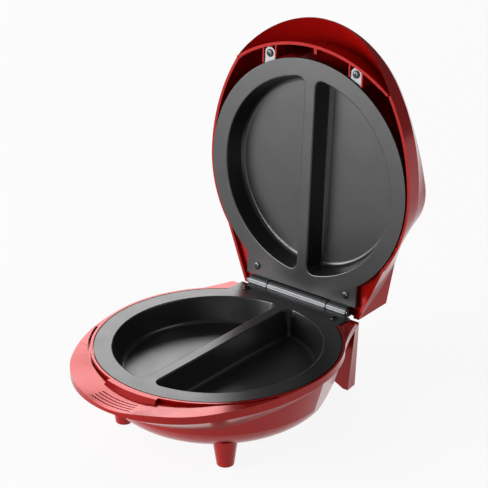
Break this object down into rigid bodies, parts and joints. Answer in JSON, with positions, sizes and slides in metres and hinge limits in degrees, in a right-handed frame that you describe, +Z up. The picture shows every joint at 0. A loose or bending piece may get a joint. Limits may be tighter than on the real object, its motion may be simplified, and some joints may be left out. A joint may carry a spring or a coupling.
{
  "type": "electric omelette maker",
  "caption": "Hinged clam-shell omelette cooker with half-moon pans in both plates, front grip, short legs and a rear stand; lid stored open.",
  "frame": {"origin": "on the table top, under the middle of the bounding box with the lid open", "axes": "+Z up, -Y towards the front grip, +Y towards the hinge, +X to the right seen from the front"},
  "size_m": [0.206, 0.2903, 0.3046],
  "materials": {
    "shell": "glossy moulded, deep red",
    "nonstick": "satin non-stick coating on cast aluminium",
    "element": "drawn sheath, heat-tinted",
    "zinc": "zinc-plated",
    "aluminised": "mill finish sheet",
    "brass": "bare",
    "ceramic": "unglazed ceramic",
    "sleeving": "glass-fibre sleeving",
    "wire_white": "silicone insulation",
    "black_plastic": "matt moulded",
    "screw_steel": "blackened zinc",
    "pin_steel": "bright drawn",
    "thermostat_body": "phenolic moulding",
    "red_lens": "clear red lens",
    "green_lens": "clear green lens"
  },
  "bodies": {
    "base": {"base_shell": "shell", "lower_plate": "nonstick", "lower_heater": "element", "lower_clamps": "zinc", "lower_clamp_screws": "zinc", "lower_reflector": "aluminised", "lower_nuts": "zinc", "lower_terminals": "brass", "terminal_block": "ceramic", "block_screws": "zinc", "thermal_fuse": "sleeving", "fuse_clip": "zinc", "lower_wires": "sleeving", "supply_wires": "wire_white", "cord_gland": "black_plastic", "lower_rear_screws": "screw_steel", "hinge_pin": "pin_steel", "hinge_pin_clip": "pin_steel"},
    "lid": {"lid_shell": "shell", "upper_plate": "nonstick", "upper_heater": "element", "upper_clamps": "zinc", "upper_clamp_screws": "zinc", "upper_reflector": "aluminised", "upper_nuts": "zinc", "upper_terminals": "brass", "thermostat": "thermostat_body", "thermostat_bracket": "zinc", "thermostat_screws": "zinc", "power_lamp": "red_lens", "ready_lamp": "green_lens", "lamp_holder": "black_plastic", "lamp_screws": "zinc", "upper_wires": "sleeving", "upper_rear_screws": "screw_steel", "upper_lug_screws": "screw_steel"}
  },
  "joints": [
    {"name": "lid_hinge", "type": "hinge", "parent": "base", "child": "lid", "pos_m": [0, 0.0925, 0.069], "axis": [1, 0, 0], "range_deg": [0, 93.8]}
  ]
}
